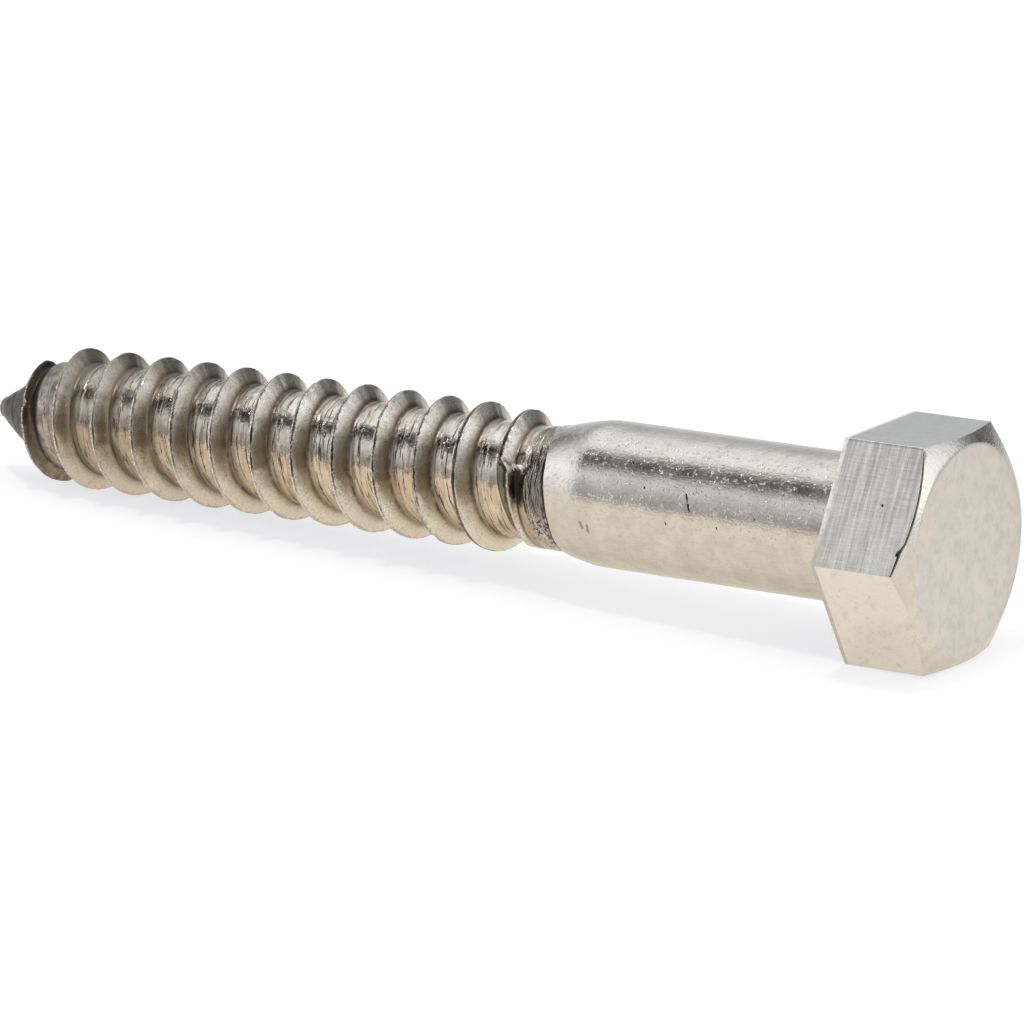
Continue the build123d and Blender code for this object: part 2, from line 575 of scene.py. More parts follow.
def head_rings(shell, neck_ring):
    """Bearing face, flats, chamfer and end face above the ring at the neck."""
    ring = shell.stack(neck_ring, neck_columns(), "shank")
    ring = shell.stack(ring, bearing_columns(shell.places(ring)), "bearing")
    ring = shell.stack(ring, rim_columns(), "rim")
    flats = flat_columns()
    ring = shell.stack(ring, [next(flats)], "rim")
    ring = shell.stack(ring, flats, flat_name)
    ring = shell.stack(ring, chamfer_columns(shell.places(ring)), "chamfer")
    ring = shell.stack(ring, end_columns(shell.places(ring)), "end")
    middle = shell.point(*HEAD_SHIFT, HEAD_HEIGHT)
    for i in range(COLUMNS):
        shell.face([ring[i], ring[(i + 1) % COLUMNS], middle], "end")


def shank_rings(shell):
    """Rings of the shoulder and shank; returns the lowest and the highest."""
    depths = [-GRID_TOP]
    depths += [SHANK_LENGTH + 2.4 * (1 - step / 7) for step in range(1, 8)]
    depths += [SHANK_LENGTH - (SHANK_LENGTH - NECK_FLARE) * step / 24 for step in range(1, 25)]
    rings = [shell.ring(turned(depth, core_radius(depth))) for depth in depths]
    for lower, upper in zip(rings, rings[1:]):
        shell.band(lower, upper, "shank")
    return rings[0], rings[-1]


def tip_rings(shell):
    """Blunt round end of the point; returns its uppermost ring."""
    first = shell.ring(turned(-GRID_TIP, core_radius(-GRID_TIP + 1e-6)))
    upper = first
    for step in range(1, 6):
        turn = (pi / 2 - CONE) * (1 - step / 6)
        depth = LENGTH - TIP_RADIUS + TIP_RADIUS * cos(turn)
        lower = shell.ring(turned(depth, TIP_RADIUS * sin(turn)))
        shell.band(lower, upper, "thread")
        upper = lower
    end = shell.point(sag(LENGTH), 0, -LENGTH)
    for i in range(COLUMNS):
        shell.face([upper[(i + 1) % COLUMNS], upper[i], end], "thread")
    return first


def build_screw():
    """The whole screw's mesh."""
    shell = Shell()
    top_ring, neck_ring = shank_rings(shell)
    thread_grid(shell, tip_rings(shell), top_ring)
    head_rings(shell, neck_ring)
    return shell


# Shader nodes
class Nodes:
    """Short names for the nodes of one material or world."""

    def __init__(self, owner):
        owner.use_nodes = True
        self.tree = owner.node_tree
        self.tree.nodes.clear()

    def add(self, kind, inputs=(), **settings):
        node = self.tree.nodes.new("ShaderNode" + kind)
        for name, value in settings.items():
            setattr(node, name, value)
        for name, value in dict(inputs).items():
            self.put(node.inputs[name], value)
        return node

    def put(self, socket, value):
        """Link an output to the socket, or set its number, vector or colour."""
        if isinstance(value, bpy.types.NodeSocket):
            self.tree.links.new(value, socket)
        elif socket.type == "RGBA":
            socket.default_value = (*value, 1)
        else:
            socket.default_value = value

    def math(self, operation, a, b=0):
        return self.add("Math", {0: a, 1: b}, operation=operation).outputs[0]

    def times(self, a, b):
        return self.math("MULTIPLY", a, b)

    def plus(self, a, b):
        return self.math("ADD", a, b)

    def minus(self, a, b):
        return self.math("SUBTRACT", a, b)

    def total(self, *values):
        result = values[0]
        for value in values[1:]:
            result = self.plus(result, value)
        return result

    def scaled(self, value, factor, middle=0):
        return self.times(self.minus(value, middle), factor)

    def ramp(self, value, low, high, start=0, end=1):
        inputs = {0: value, 1: low, 2: high, 3: start, 4: end}
        settings = {"interpolation_type": "SMOOTHSTEP", "clamp": True}
        return self.add("MapRange", inputs, **settings).outputs[0]

    def near(self, value, middle, width):
        """1 at the middle, 0 beyond the width."""
        away = self.math("ABSOLUTE", self.minus(value, middle))
        return self.ramp(away, 0, width, 1, 0)

    def mixed(self, amount, a, b):
        """Number from a to b by an amount from 0 to 1."""
        return self.add("Mix", {0: amount, 2: a, 3: b}).outputs[0]

    def blend(self, amount, a, b, blend_type="MIX"):
        """Colour from a to b by an amount from 0 to 1."""
        settings = {"data_type": "RGBA", "blend_type": blend_type}
        return self.add("Mix", {"Factor": amount, 6: a, 7: b}, **settings).outputs[2]

    def coats(self, colour, *coats):
        """Colour under coats: each an amount from 0 to 1 and a colour, or a value, the low and
        high where it shows least and most, the most that shows, and a colour."""
        for *amount, coat in coats:
            if len(amount) > 1:
                value, low, high, most = amount
                amount = [self.ramp(value, low, high, 0, most)]
            colour = self.blend(amount[0], colour, coat)
        return colour

    def vector(self, x, y, z):
        return self.add("CombineXYZ", {0: x, 1: y, 2: z}).outputs[0]

    def parts(self, vector):
        return self.add("SeparateXYZ", {0: vector}).outputs

    def stretched(self, parts, factors):
        """Vector from parts, each multiplied by its factor."""
        return self.vector(*(self.times(p, f) for p, f in zip(parts, factors)))

    def vector_math(self, operation, a, b, output="Vector"):
        inputs = {0: a, 1: b}
        return self.add("VectorMath", inputs, operation=operation).outputs[output]

    def attribute(self, name, output):
        return self.add("Attribute", attribute_name=name).outputs[output]

    def noise(self, vector, scale, detail=2, roughness=0.5):
        inputs = {"Vector": vector, "Scale": scale, "Detail": detail, "Roughness": roughness}
        return self.add("TexNoise", inputs).outputs[0]

    def surface(self, shader, kind="Material"):
        self.add("Output" + kind, {"Surface": shader})


# Light, floor and camera
WHITE = (1, 1, 1)
FLOOR_REACH = 12
LENS = 235.14
CAMERA_AT = (0.260417, -0.46, 0.14728)
CAMERA_RIGHT = Vector((0.83634, 0.54752, 0.02762))
CAMERA_UP = Vector((-0.16875, 0.20919, 0.9632))
STRIPS = (
    # angle round the screw's axis, from level in front over the top to level behind; brightness
    (-180, 0.95), (-25, 0.6), (-8, 0.38), (2, 0.34), (14, 0.54), (26, 0.72), (38, 0.92),
    (46, 0.84), (52, 0.38), (59, 0.1), (69, 0.06), (77, 0.28), (85, 0.98), (96, 1.26),
    (114, 1.12), (126, 1.08), (136, 0.8), (148, 0.56), (162, 0.6), (172, 0.74), (180, 0.95),
)
END_LIGHT = (
    # elevation at the head's end; brightness
    (-90, 0.9), (-8, 0.62), (3, 0.66), (9, 1.1), (14, 1.75), (20, 1.9), (29, 1.45), (38, 1.2),
    (50, 0.8), (90, 0.7),
)
END_SIDE = (
    # angle round from the head's end to the back; share of that brightness
    (-180, 1), (20, 1), (33, 0.8), (45, 0.66), (54, 0.46), (63, 0.22), (72, 0.11), (90, 0.08),
    (180, 1),
)
POINT_LIGHT = (
    # as STRIPS, for what the shoulder and the point see
    (-180, 1), (-30, 0.95), (0, 1.05), (30, 1.25), (50, 1.42), (72, 1.3), (92, 0.95), (110, 0.55),
    (125, 0.3), (140, 0.34), (158, 0.52), (180, 0.95),
)


def curve(n, value, stations, low, high):
    """Brightness along the stations, as a colour ramp over value from low to high."""
    share = n.math("DIVIDE", n.minus(value, low), high - low)
    ramp = n.add("ValToRGB", {"Fac": share})
    ramp.color_ramp.interpolation = "EASE"
    stops = ramp.color_ramp.elements
    while len(stops) < len(stations):
        stops.new(0.5)
    for stop, (place_at, level) in zip(stops, stations):
        stop.position = (place_at - low) / (high - low)
        stop.color = (level, level, level, 1)
    return ramp.outputs[0]


def direction(side, height):
    """Unit vector by degrees round from the head's end and degrees up."""
    side = radians(side)
    height = radians(height)
    return cos(side) * cos(height), sin(side) * cos(height), sin(height)


def add_object(name, data):
    made = bpy.data.objects.new(name, data)
    bpy.context.scene.collection.objects.link(made)
    return made


def add_sheet(name, corners):
    """Four-sided stage piece with a new material; returns it and the material's nodes."""
    mesh = bpy.data.meshes.new(name)
    mesh.from_pydata(corners, [], [(0, 1, 2, 3)])
    material = bpy.data.materials.new(name)
    mesh.materials.append(material)
    return add_object(name, mesh), Nodes(material)


def build_world():
    """Studio round the screw: soft strips of light along it, and a light at the head's end."""
    world = bpy.data.worlds.new("studio")
    bpy.context.scene.world = world
    n = Nodes(world)
    way = n.add("TexCoord").outputs["Generated"]
    x, y, z = n.parts(way)
    round_angle = n.math("DEGREES", n.math("ARCTAN2", z, n.times(y, -1)))
    height = n.math("DEGREES", n.math("ARCSINE", z))

    # Strips along the screw, darker beside the head above the level
    strips = curve(n, round_angle, STRIPS, -180, 180)
    shade = n.times(n.ramp(x, -0.4, 0), n.near(round_angle, 35, 55))
    strips = n.blend(n.times(shade, 0.5), strips, (0, 0, 0))

    # Light at the head's end, fading round to the back, with a dark gap beside it
    side = curve(n, n.math("DEGREES", n.math("ARCTAN2", y, x)), END_SIDE, -180, 180)
    side = n.blend(n.ramp(height, 40, 65), side, WHITE)
    end_light = n.blend(1, curve(n, height, END_LIGHT, -90, 90), side, "MULTIPLY")
    colour = n.blend(n.ramp(x, 0.2, 0.5), strips, end_light)
    nearness = n.vector_math("DOT_PRODUCT", way, direction(84, 9), "Value")
    colour = n.blend(n.ramp(nearness, cos(radians(34)), cos(radians(10))), colour, (0.1, 0.1, 0.1))

    # What the shoulder and the point see
    point_light = curve(n, round_angle, POINT_LIGHT, -180, 180)
    colour = n.blend(n.ramp(x, -0.63, -0.74), colour, point_light)
    light = n.add("Background", {"Color": colour, "Strength": 1}).outputs[0]
    white = n.add("Background", {"Color": WHITE, "Strength": 1}).outputs[0]
    mix = n.add("MixShader", {0: seen_straight(n), 1: light, 2: white})
    n.surface(mix.outputs[0], "World")


def seen_straight(n):
    """1 where the camera sees a surface itself, also through glass."""
    path = n.add("LightPath").outputs
    return n.math("MAXIMUM", path["Is Camera Ray"], path["Is Transmission Ray"])


def add_lamp(name, power, size, at):
    """Soft rectangular lamp at a point in metres, facing the screw."""
    data = bpy.data.lights.new(name, "AREA")
    data.shape = "RECTANGLE"
    data.size, data.size_y = size
    data.energy = power
    lamp = add_object(name, data)
    lamp.location = at
    middle = Vector((-0.04, 0, 0))
    lamp.rotation_euler = (middle - Vector(at)).to_track_quat("-Z", "Y").to_euler()
    lamp.visible_camera = False


def build_floor():
    """Wide pale floor: white to the camera, warm in the metal, with the screw's shadow on it."""
    far = FLOOR_REACH
    corners = [(x, y, FLOOR) for x, y in ((-far, -far), (far, -far), (far, far), (-far, far))]
    floor_object, n = add_sheet("floor", corners)
    matt = n.add("BsdfDiffuse", {"Color": (0.42, 0.39, 0.35)}).outputs[0]
    straight = seen_straight(n)
    seen = n.math("MAXIMUM", straight, n.add("LightPath").outputs["Is Glossy Ray"])
    behind = n.parts(n.add("TexCoord").outputs["Object"])[1]
    mirrored = n.blend(n.ramp(behind, 0.07, 0.14), (0.64, 0.59, 0.515), (0.42, 0.42, 0.42))
    colour = n.blend(straight, mirrored, (0.66, 0.68, 0.72))
    glow = n.add("Emission", {"Color": colour, "Strength": seen}).outputs[0]
    n.surface(n.add("AddShader", {0: matt, 1: glow}).outputs[0])


def build_card():
    """Black card beside the head, soft at its edges, which only the thread's flanks mirror."""
    x = 0.0105
    top = 0.085
    left, right = -0.1, 0.03
    corners = [(x, left, FLOOR), (x, left, top), (x, right, top), (x, right, FLOOR)]
    card, n = add_sheet("black_card", corners)
    card.visible_camera = False
    card.visible_diffuse = False
    card.visible_shadow = False
    card.visible_transmission = False
    across, y, z = n.parts(n.add("TexCoord").outputs["Object"])
    aside = n.times(n.ramp(y, 0.026, -0.014), n.ramp(y, left, -0.06))
    from_head = n.math("SQRT", n.plus(n.math("POWER", y, 2), n.math("POWER", z, 2)))
    shape = n.times(aside, n.ramp(from_head, 0.0105, 0.013))
    shape = n.times(shape, n.ramp(z, top, 0.02))
    facing = n.minus(1, n.add("NewGeometry").outputs["Backfacing"])
    amount = n.times(n.times(shape, facing), 0.8)
    clear = n.add("BsdfTransparent").outputs[0]
    black = n.add("BsdfDiffuse", {"Color": (0.01, 0.01, 0.01)}).outputs[0]
    n.surface(n.add("MixShader", {0: amount, 1: clear, 2: black}).outputs[0])


def build_camera():
    """Long lens, a little above the screw and beside its head."""
    data = bpy.data.cameras.new("camera")
    data.lens = LENS
    data.sensor_width = 36
    data.clip_start = 0.01
    data.clip_end = 30
    camera = add_object("camera", data)
    back = CAMERA_RIGHT.cross(CAMERA_UP)
    turn = Matrix((CAMERA_RIGHT, CAMERA_UP, back)).transposed().to_4x4()
    camera.matrix_world = Matrix.Translation(CAMERA_AT) @ turn
    bpy.context.scene.camera = camera


# Materials
LIGHT = (0.62, 0.605, 0.57)
DARK = (0.3, 0.285, 0.26)
GOLD = (0.6, 0.495, 0.375)
BROWN = (0.2, 0.15, 0.105)
# white of the painted highlights: the crests' edge and the broken lip
PAINTED_HIGHLIGHT = (0.88, 0.87, 0.84)
BLACK = (0.025, 0.022, 0.02)


def new_material(name, build):
    """Metal whose base colour, roughness and bump come from build."""
    material = bpy.data.materials.new(name)
    n = Nodes(material)
    colour, roughness, height = build(n)
    bump = n.add("Bump", {"Height": height, "Distance": 0.001, "Strength": 1})
    look = {"Base Color": colour, "Roughness": roughness, "Normal": bump.outputs[0], "Metallic": 1}
    n.surface(n.add("BsdfPrincipled", look).outputs[0])
    return material


# Scratches and smudges of the shank: degrees round it and depth at each end, and half the width
SCRATCHES = (
    (66, 14.95, 79, 14.38, 0.12),
    (45, 20.97, 48, 20.7, 0.1),
    (65, 19.05, 66, 19, 0.09),
    (90, 16.64, 91, 16.6, 0.09),
    (88, 11.7, 89, 11.66, 0.1),
    (76, 8.2, 78, 8.15, 0.08),
)
SMUDGES = ((100, 25.1, 104, 24.9, 0.2), (102, 24.45, 108, 24.4, 0.18))
# Pit and chip of the head's near flat, each with its reach, painted black as the shade in them
HEAD_PITS = (
    ((4.71, 8.2, 5.15), 0.17),
    ((1.44, 10.09, 7.68), 0.25),
    ((1.64, 9.98, 7.8), 0.17),
    ((1.3, 10.17, 7.58), 0.14),
)


def screw_spot(n):
    """Place in the screw's own frame, in millimetres."""
    return n.attribute("screw", "Vector")


class ThreadSpot:
    """Place on the thread, in millimetres, and the masks and noises that its layers share."""

    def __init__(self, n):
        self.spot = screw_spot(n)
        self.up, y, z = n.parts(self.spot)
        angle = n.math("DIVIDE", n.math("ARCTAN2", y, self.up), 2 * pi)
        turns = n.minus(n.scaled(z, 1 / PITCH, CREST_Z), angle)
        turn = n.math("FLOOR", turns)
        self.along = n.scaled(n.plus(turn, angle), 2 * pi * 5.5)
        self.across = n.scaled(n.minus(turns, turn), PITCH)  # from the crest below
        self.out = n.math("SQRT", n.plus(n.math("POWER", self.up, 2), n.math("POWER", y, 2)))
        self.depth = n.times(z, -1)

        # The first ridge, the cone beyond it, roots, and flanks that face the head
        self.first = n.math("LESS_THAN", turn, -0.5)
        self.bare = n.times(n.math("LESS_THAN", turn, -1.5), n.ramp(self.depth, 84.9, 85.6))
        self.before_last = n.minus(self.across, n.ramp(self.along, 351, 357, 0, 0.45))
        self.root = n.times(n.ramp(self.across, 0.88, 1.02), n.ramp(self.before_last, 3.4, 3.22))
        self.back = n.ramp(self.before_last, 3.22, 3.4)
        beyond = n.times(n.math("GREATER_THAN", self.across, PITCH / 2), PITCH)
        moved = n.plus(beyond, n.ramp(self.depth, 82.2, 83.6, 0, 0.25))
        self.past_crest = n.minus(self.across, moved)
        self.torn, self.above, self.shoulder = n.parts(n.attribute("collar", "Vector"))
        self.shade_and_highlight = n.attribute("shade_and_highlight", "Fac")

        self.blotch = n.noise(self.spot, 0.55, 3)
        self.cloud = n.noise(self.spot, 1.6, 3)
        self.grain = n.noise(self.spot, 4.6, 3, 0.8)
        self.patchy = n.noise(self.spot, 2.2, 3)
        wound = (self.along, self.across, self.out)
        self.streak = n.noise(n.stretched(wound, (0.3, 3, 1)), 1, 3, 0.6)
        thin = n.noise(n.stretched(wound, (0.3, 4.2, 2)), 1, 5, 0.68)
        self.crack = n.ramp(thin, 0.58, 0.63)
        folded = (self.along, self.above, self.above)
        self.fold = n.noise(n.stretched(folded, (0.45, 6.5, 0)), 1, 5, 0.75)


def flank_colour(n, at):
    """Pale and grained at the crest, tan to brown towards the root as painted shade with blotches,
    paler below as painted light, and dull and darker on the head side as painted shade.
    """
    # painted shade: darker towards the root, mixed with random blotches
    tone = n.plus(n.ramp(at.across, 0.2, 0.98), n.scaled(at.blotch, 0.4, 0.5))
    warm = n.times(n.near(at.up, 0.4, 3.9), n.ramp(at.across, 0.05, 0.45, 0.35, 0.75))
    # painted light: paler and creamier on the lower side
    lower = n.times(n.ramp(at.up, -2, -4.4, 0, 0.5), n.ramp(at.across, 1, 0.4, 0.4, 1))
    # painted shade near the root on the upper side
    shaded = n.times(n.ramp(at.across, 0.55, 0.95), n.ramp(at.up, -2.4, 1.5, 0, 0.55))
    return n.coats(
        n.blend(n.ramp(tone, 0.1, 0.6), (0.76, 0.735, 0.68), (0.66, 0.61, 0.53)),
        (tone, 0.5, 0.98, 1, (0.39, 0.315, 0.23)),
        (at.grain, 0.48, 0.64, 0.6, (0.3, 0.27, 0.22)),
        (at.grain, 0.46, 0.34, 0.35, (0.9, 0.88, 0.83)),
        (warm, (0.52, 0.395, 0.26)),
        (lower, (0.94, 0.86, 0.73)),
        (shaded, (0.1, 0.075, 0.05)),
        # painted shade: the flanks on the head side of the root darker than their steel
        (at.back, n.blend(at.cloud, (0.26, 0.235, 0.195), (0.17, 0.145, 0.115))),
    )


def root_colour(n, at):
    """Burnished, pink above and painted warm reflection in gold below, with smears, dark cracks, a
    pitted patch that is also a painted dark reflection, and painted shade near the flank.
    """
    # painted warm reflection: gold towards the lower side, broken by blotches
    gold_reflection = n.plus(n.ramp(at.up, 4.6, -0.8), n.scaled(at.blotch, 1.6, 0.5))
    # pits, gathered in a band of painted dark reflection across the upper root
    pitted = n.ramp(n.noise(at.spot, 2.6, 4, 0.7), 0.46, 0.56, 0, 0.85)
    pitted = n.times(pitted, n.ramp(at.across, 3.1, 2.2, 0.25, 1))
    # painted shade near the flank on the upper side
    shady = n.times(n.near(at.up, 2.4, 1.9), n.ramp(at.across, 2.1, 1.2, 0, 0.5))
    return n.coats(
        n.blend(n.ramp(at.cloud, 0.35, 0.65), (0.64, 0.6, 0.54), (0.74, 0.71, 0.65)),
        (gold_reflection, 0.3, 1.2, 1, GOLD),
        (at.streak, 0.47, 0.68, 0.7, (0.27, 0.22, 0.165)),
        (n.times(at.crack, 0.85), BLACK),
        # painted shade: browner towards the flank
        (at.across, 2.2, 1, 0.3, BROWN),
        (n.times(pitted, n.near(at.up, 3.4, 1)), BLACK),
        (shady, (0.1, 0.085, 0.07)),
    )


def flank_foot_shade(n, at):
    """Share of painted shade where a flank meets the root."""
    dark = n.times(n.near(at.across, 0.96, 0.27), n.ramp(at.cloud, 0.3, 0.6, 0.5, 0.9))
    return n.times(dark, n.ramp(at.up, -4.4, -2, 0.35, 1))


def crest_marks(n, at):
    """Shares of the dark torn seam along the crests, and of the broken painted highlight beside
    it.
    """
    at_seam = n.vector(n.scaled(at.along, 0.9), n.scaled(at.across, 0.6), 4)
    ragged = n.noise(at_seam, 1, 5, 0.75)
    wander = n.noise(n.vector(n.scaled(at.along, 2.6), 0, 9), 1, 4, 0.7)
    wander = n.scaled(wander, 0.3, 0.5)
    forward = n.times(n.ramp(at.depth, 36.5, 43), n.ramp(at.up, 5.2, 3, 0.02, 0.11))
    middle = n.minus(n.ramp(at.depth, 43, 36.5, 0, 0.1), forward)
    broad = n.times(n.ramp(at.depth, 43, 36.5, 0.08, 0.18), n.ramp(ragged, 0.35, 0.6, 0.5, 1.3))
    away = n.math("ABSOLUTE", n.total(at.past_crest, wander, middle))
    seam = n.ramp(n.math("DIVIDE", away, broad), 0.5, 1, 1, 0)
    seam = n.times(seam, n.ramp(ragged, 0.38, 0.52, 0.35, 1))
    lit = n.times(n.ramp(at.up, 6.15, 5.5, 0.3, 1), n.ramp(at.up, -2.5, 0.8, 0.3, 1))
    seam = n.times(n.times(seam, lit), n.ramp(at.depth, 68, 82, 1, 0.35))
    # painted highlight: a broken white line along the crest's edge
    edge = n.near(n.plus(at.past_crest, n.times(wander, 0.5)), -0.03, 0.12)
    beads = n.noise(n.vector(n.scaled(at.along, 3.2), 0, 17), 1, 3, 0.7)
    bright = n.times(edge, n.ramp(beads, 0.42, 0.56, 0.15, 0.9))
    bright = n.times(bright, n.ramp(at.up, 5, 2.8, 0.25, 1))
    reached = n.times(n.ramp(at.depth, 39, 46), n.ramp(at.depth, 84.65, 84.2))
    return seam, n.times(bright, reached)


def browned(n, at, colour):
    """Browner and greyer towards the point, with a dusty last root."""
    browning = n.plus(n.ramp(at.depth, 44, 86), n.scaled(at.blotch, 0.8, 0.5))
    upper = n.ramp(at.up, -5, -1.5, 0.35, 1)
    # painted shade: darker towards the flank on the roots nearer the point
    lower_root = n.times(n.ramp(at.depth, 50, 62), n.ramp(at.across, 2.6, 1.2, 0, 0.45))
    last_root = n.times(n.ramp(at.depth, 80, 82.5), n.ramp(at.across, 0.75, 1))
    last_root = n.times(last_root, n.ramp(at.across, 3.45, 3.25, 0.25, 1))
    dusty = n.blend(n.ramp(at.cloud, 0.32, 0.66), (0.24, 0.22, 0.2), (0.53, 0.5, 0.46))
    greyed = n.times(n.ramp(at.depth, 73, 80, 0, 0.45), n.ramp(at.up, 1, 4.5))
    return n.coats(
        colour,
        (n.times(n.ramp(browning, 0.1, 0.9, 0, 0.45), upper), (0.25, 0.2, 0.145)),
        (n.times(lower_root, at.root), (0.1, 0.08, 0.06)),
        (n.times(last_root, 0.85), dusty),
        (greyed, (0.24, 0.225, 0.2)),
    )


def point_dirt(n, at, colour):
    """Soot and rust on the first ridge, a painted black shadow where it meets the root, and the
    bare slate cone.
    """
    sooty = n.plus(n.ramp(at.up, -2, 2.5), n.scaled(at.cloud, 0.8, 0.5))
    soot = n.coats(
        n.blend(n.ramp(sooty, 0.1, 0.9), (0.125, 0.1, 0.075), (0.024, 0.019, 0.015)),
        (at.grain, 0.45, 0.6, 0.5, (0.07, 0.055, 0.04)),
    )
    rusty = n.blend(n.ramp(at.cloud, 0.36, 0.62), (0.2, 0.16, 0.12), (0.42, 0.36, 0.3))
    soot = n.blend(n.ramp(at.up, -2, -4.6, 0, 0.65), soot, rusty)
    # painted shadow: black where the first ridge meets the root
    foot = n.times(n.near(at.across, 1.24, 0.42), at.first)
    slate = n.blend(n.ramp(at.cloud, 0.3, 0.7), (0.03, 0.033, 0.037), (0.075, 0.08, 0.085))
    return n.coats(
        colour,
        (n.times(n.times(at.first, n.ramp(at.across, 1.35, 1.05)), 0.94), soot),
        (n.times(foot, n.ramp(at.up, -4, 0, 0.25, 0.9)), BLACK),
        (at.bare, n.blend(n.ramp(at.depth, 88.6, 90, 0, 0.8), slate, (0.45, 0.46, 0.45))),
    )


def collar_colour(n, at, colour):
    """Folds of the torn collar with painted shade between them and painted glints on them, painted
    light above and ticked below, with ticks strewn beside it.
    """
    ticks = n.noise(n.stretched((at.along, at.above, at.out), (3.2, 3.6, 1)), 1, 4, 0.75)
    ticked = n.blend(n.ramp(ticks, 0.5, 0.57), (0.66, 0.63, 0.58), (0.06, 0.05, 0.045))
    folds = n.blend(at.patchy, (0.32, 0.29, 0.255), (0.52, 0.48, 0.44))
    folds = n.coats(
        # painted shade in black between the folds
        n.blend(n.ramp(at.fold, 0.44, 0.52), (0.03, 0.026, 0.023), folds),
        # painted glints on the folds
        (at.fold, 0.58, 0.64, 1, (0.86, 0.85, 0.82)),
        (at.up, -0.4, -2.6, 1, ticked),
        # painted light: paler towards the top
        (at.up, 3.4, 4.8, 0.6, (0.6, 0.57, 0.53)),
    )
    strewn = n.times(n.ramp(at.depth, 33, 32.4), n.ramp(ticks, 0.58, 0.63, 0, 0.8))
    strewn = n.times(strewn, n.ramp(at.up, 0.2, -1.4))
    return n.coats(colour, (strewn, (0.08, 0.065, 0.05)), (at.torn, folds))


def thread_roughness(n, at):
    """Polished roots, duller towards the point, between matt flanks."""
    place_on = n.vector(n.scaled(at.along, 0.5), n.scaled(at.across, 1.5), 0)
    shine = n.ramp(n.noise(place_on, 1, 2), 0.3, 0.7, 0.07, 0.15)
    duller = n.plus(n.ramp(at.depth, 66, 79, 0, 0.1), n.ramp(at.depth, 78.5, 82, 0, 0.14))
    shine = n.total(shine, duller, n.ramp(at.across, 1.55, 1.1, 0, 0.22))
    matt = n.plus(n.ramp(at.blotch, 0.3, 0.7, 0.25, 0.31), n.ramp(at.depth, 78, 82, 0, 0.06))
    return n.mixed(at.root, matt, shine)


def thread_height(n, at, seam):
    """Grain of the flanks, streaks and cracks of the roots, the crests' seam and the folds."""
    return n.total(
        n.times(n.scaled(at.grain, 0.014), n.minus(1, at.root)),
        n.times(n.scaled(at.streak, 0.011), at.root),
        n.times(n.scaled(n.noise(at.spot, 3.2, 4, 0.65), 0.022), at.root),
        n.times(at.crack, n.scaled(at.root, -0.04)),
        n.scaled(at.cloud, 0.012),
        n.times(seam, -0.03),
        n.times(at.torn, n.scaled(at.fold, 0.2)),
    )


def thread_steel(n):
    """The thread, the point and the torn collar; above it, the shoulder, finished as the shank."""
    at = ThreadSpot(n)
    seam, crest_highlight = crest_marks(n, at)
    colour = n.coats(
        n.blend(at.root, flank_colour(n, at), root_colour(n, at)),
        (flank_foot_shade(n, at), (0.07, 0.055, 0.04)),
        # painted shadow where the root meets the next ridge's flank
        (n.times(n.near(at.before_last, 3.34, 0.14), 0.7), BLACK),
        (n.times(seam, 0.9), (0.035, 0.03, 0.027)),
    )
    colour = point_dirt(n, at, browned(n, at, colour))
    colour = collar_colour(n, at, n.blend(crest_highlight, colour, PAINTED_HIGHLIGHT))
    # painted shade in the hollow and along the torn collar, and painted highlight on the broken
    # lip
    recess_shade = n.ramp(n.plus(at.shade_and_highlight, n.scaled(at.patchy, 1.3, 0.5)), 0.15, 0.6, 0, 0.96)
    lip_highlight = n.ramp(n.plus(at.shade_and_highlight, n.scaled(at.patchy, 1.2, 0.5)), -0.3, -0.75, 0, 0.8)
    upper_colour, upper_rough, upper_height = shank_steel(n)
    colour = n.coats(
        colour,
        (recess_shade, (0.045, 0.038, 0.03)),
        (lip_highlight, PAINTED_HIGHLIGHT),
        (n.times(at.shoulder, n.minus(1, recess_shade)), upper_colour),
    )
    roughness = n.mixed(at.shoulder, thread_roughness(n, at), upper_rough)
    height = n.mixed(at.shoulder, thread_height(n, at, seam), upper_height)
    return colour, roughness, height


def shaken(n, spot, amount):
    """The place moved about by up to half the amount each way, for ragged edges."""
    ragged = n.add("TexNoise", {"Vector": spot, "Scale": 4, "Detail": 3})
    inputs = {0: ragged.outputs["Color"], 1: (amount,) * 3, 2: (-amount / 2,) * 3}
    shift = n.add("VectorMath", inputs, operation="MULTIPLY_ADD").outputs[0]
    return n.vector_math("ADD", spot, shift)


def on_shank(angle, depth):
    """Point of the shank's surface, by degrees round it and depth."""
    return (SHANK_RADIUS * cos(radians(angle)), SHANK_RADIUS * sin(radians(angle)), -depth)


def scratch(n, spot, start, end, width):
    """1 on the line from start to end, 0 beyond the width."""
    run = Vector(end) - Vector(start)
    offset = n.vector_math("SUBTRACT", spot, start)
    share = n.vector_math("DOT_PRODUCT", offset, run / run.length_squared, "Value")
    share = n.math("MINIMUM", n.math("MAXIMUM", share, 0), 1)
    scale = {0: tuple(run), "Scale": share}
    nearest = n.add("VectorMath", scale, operation="SCALE").outputs[0]
    gap = n.vector_math("DISTANCE", offset, nearest, "Value")
    return n.ramp(gap, width * 0.4, width, 1, 0)


def marked(n, spot, marks):
    """1 on any of the marks, 0 off them."""
    result = 0
    for angle, depth, end_angle, end_depth, width in marks:
        mark = scratch(n, spot, on_shank(angle, depth), on_shank(end_angle, end_depth), width)
        result = n.math("MAXIMUM", result, mark)
    return result


